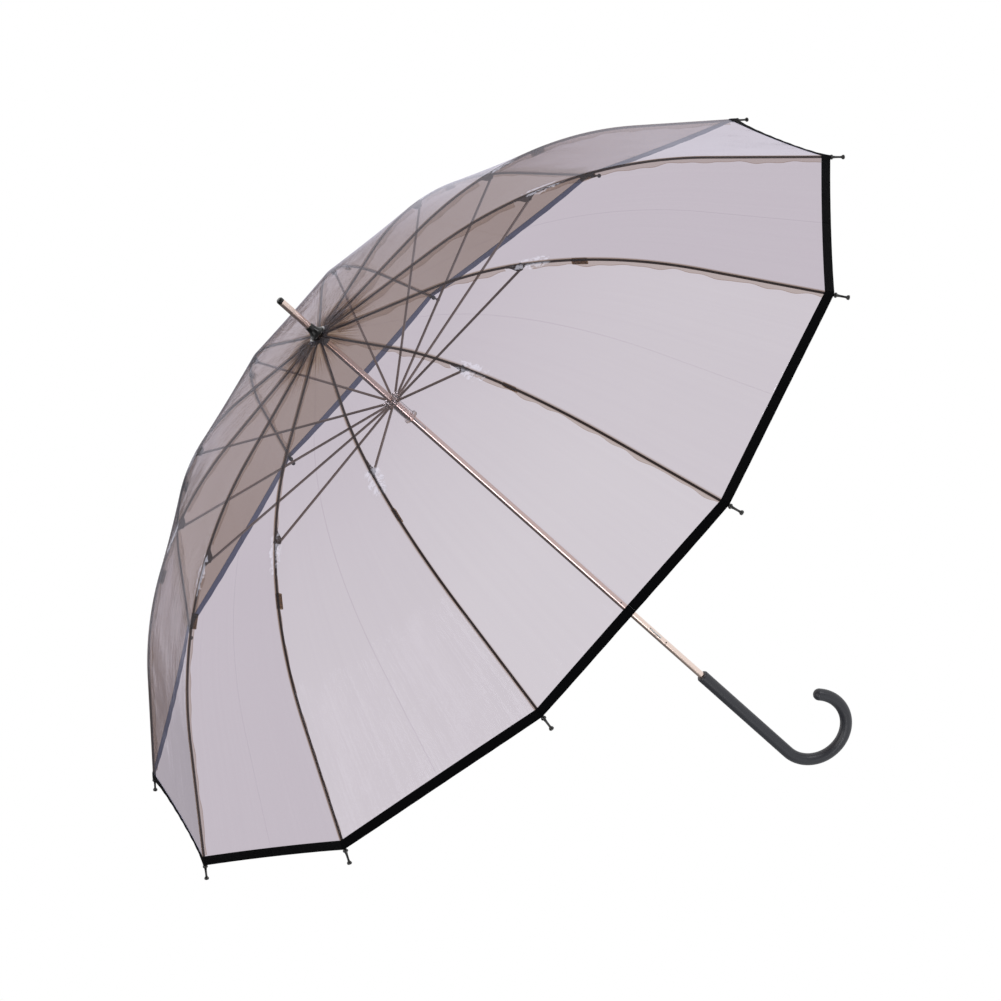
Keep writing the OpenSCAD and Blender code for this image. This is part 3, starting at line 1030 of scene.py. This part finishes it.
def pinPiece(number, drop, name):
    # a rivet across the clip: domed heads on a shank, as one profile turned about the pin's line
    outward, around = ribFrame(number)
    r = clip["pinRadius"]
    half = clip["halfWidth"]
    head = [(0.02 * r, 0.0009), (r, 0.0008), (1.55 * r, 0.0004), (1.6 * r, 0), (r, 0)]
    profile = np.array(head) + (0, half)
    profile = np.concatenate([profile, profile[::-1] * (1, -1)])
    turn = np.linspace(0, 2 * np.pi, 20, endpoint=False)
    slope = ribCurve(dome["bracketAt"])[2]
    along = math.cos(slope) * outward - math.sin(slope) * np.array([0, 0, 1])
    normal = math.sin(slope) * outward + math.cos(slope) * np.array([0, 0, 1])
    centre = onRib(number, dome["bracketAt"], -drop)
    ring = np.cos(turn)[None, :, None] * along + np.sin(turn)[None, :, None] * normal
    points = centre + profile[:, :1, None] * ring + profile[:, 1:, None] * around
    mesh = gridMesh(f"{name}_{number:02d}", points, closeAcross=True)
    capEnds(mesh, len(profile), len(turn))
    return addPiece(mesh.name, mesh, ribPaint, f"rib_inner_{number:02d}")


# the tip's outline: distance past the film's edge, and radius
tipProfile = np.array([
    (-0.0090, 0.00135), (-0.0088, 0.00170), (0.0004, 0.00175), (0.0006, 0.00255), (0.0012, 0.00275),
    (0.0022, 0.00275), (0.0028, 0.00250), (0.0032, 0.00160), (0.0060, 0.00125), (0.0110, 0.00115),
    (0.0126, 0.00130), (0.0133, 0.00200), (0.0141, 0.00250), (0.0149, 0.00260), (0.0157, 0.00240),
    (0.0163, 0.00160), (0.0165, 0.00004)])


def tipPiece(number):
    # the black tip, turned about the rib's end: sleeve, collar at the hem, waist, and a flattened ball
    turn = np.linspace(0, 2 * np.pi, 24, endpoint=False)
    section = tipProfile[:, 1][:, None, None] * np.stack([np.cos(turn), np.sin(turn)], axis=-1)[None]
    mesh = sweep(f"rib_tip_{number:02d}", number, dome["ribLength"] + tipProfile[:, 0], section)
    capEnds(mesh, len(tipProfile), len(turn))
    return addPiece(mesh.name, mesh, blackPlastic, f"rib_outer_{number:02d}")


tab = {"at": 0.335, "length": 0.017, "hang": 0.0052, "half": 0.0017, "wall": 0.00025}


def tabPiece(number):
    # a strip of film folded round the rod and hanging inward: a tall U, widest at the film
    u = np.linspace(-1, 1, 15)
    t = np.linspace(-1, 1, 31)
    loops = []
    for inset in (0, tab["wall"]):
        aside = (tab["half"] - inset) * np.sign(t) * np.abs(t) ** 0.3
        fall = (dome["filmLift"] + tab["hang"] - inset) * (1 - np.abs(t) ** 1.6)
        lift = dome["filmLift"] - dome["underFilm"] - fall
        loops.append(np.stack([lift, aside], axis=-1))
    loop = np.concatenate([loops[0], loops[1][::-1]])
    section = loop[None].repeat(len(u), axis=0)
    mesh = sweep(f"tab_{number:02d}", number, tab["at"] + u * tab["length"] / 2, section)
    capEnds(mesh, len(u), len(loop))
    return addPiece(mesh.name, mesh, tabFilm, f"rib_outer_{number:02d}")


flap = {
    "width": 0.0062,
    "start": 0.018,
    "bracketGap": (0.018, 0.012),  # bare rib before and after the bracket
    "wave": 0.00072,  # how much the width comes and goes
    "waves": ((95, 1, 1), (227, 2, 0.6), (41, 3, 0.5)),  # radians per metre, phase and share
    "beside": 0.0016,  # from the rib's middle
    "lean": 0.0012,  # how much farther its free edge lies
    "sway": 0.0007,  # how much that edge goes to and fro
    "swayTurns": 170,
    "swayWave": 0.0005,
}


def flapPiece(number, part):
    # the seam allowance: a narrow strip that hangs inward beside the rod, its free edge wavy
    if part == "crown":
        s = np.linspace(flap["start"], dome["bracketAt"] - flap["bracketGap"][0], 120)
    else:
        s = np.linspace(dome["bracketAt"] + flap["bracketGap"][1], dome["ribLength"] - hemTape["width"], 150)
    t = np.linspace(0, 1, 7)
    phase = 1.7 * number
    wave = sum(share * np.sin(s * turns + k * phase) for turns, k, share in flap["waves"])
    width = flap["width"] + flap["wave"] * wave
    sway = flap["sway"] * np.sin(s * flap["swayTurns"] + phase) + flap["swayWave"] * wave
    aside = -flap["beside"] - t[None, :] ** 1.5 * (flap["lean"] + sway[:, None])
    lift = dome["filmLift"] - dome["underFilm"] - t[None, :] * width[:, None]
    section = np.stack([np.broadcast_to(lift, aside.shape), aside], axis=-1)
    fromEdge = (1 - t)[None, :] * width[:, None]
    mesh = sweep(
        f"seam_{part}_{number:02d}", number, s, section, closed=False, attributes={"fromEdge": fromEdge}
    )
    half = "inner" if part == "crown" else "outer"
    return addPiece(mesh.name, mesh, seamFilm, f"rib_{half}_{number:02d}")


for number in range(1, ribCount + 1):
    ribPiece(number)
    eyePiece(number)
    clipPiece(number)
    pinPiece(number, 0.0, "rib_rivet")
    pinPiece(number, clip["pinDrop"], "stretcher_rivet")
    tipPiece(number)
print("ribs, brackets and tips made")

filmArea = 0.0
for number in range(1, ribCount + 1):
    for side in (1, -1):
        for part in ("crown", "skirt"):
            extras = [hemPiece(number, side)] if part == "skirt" else []
            if side < 0:
                extras.append(flapPiece(number, part))
                if part == "skirt":
                    extras.append(tabPiece(number))
            piece, area, width, length = filmPiece(number, side, part)
            filmArea += area
        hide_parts(f"canopy_panel_{number:02d}")
print(f"film, hem, seams and tabs made: {filmArea:.2f} square metres of film")
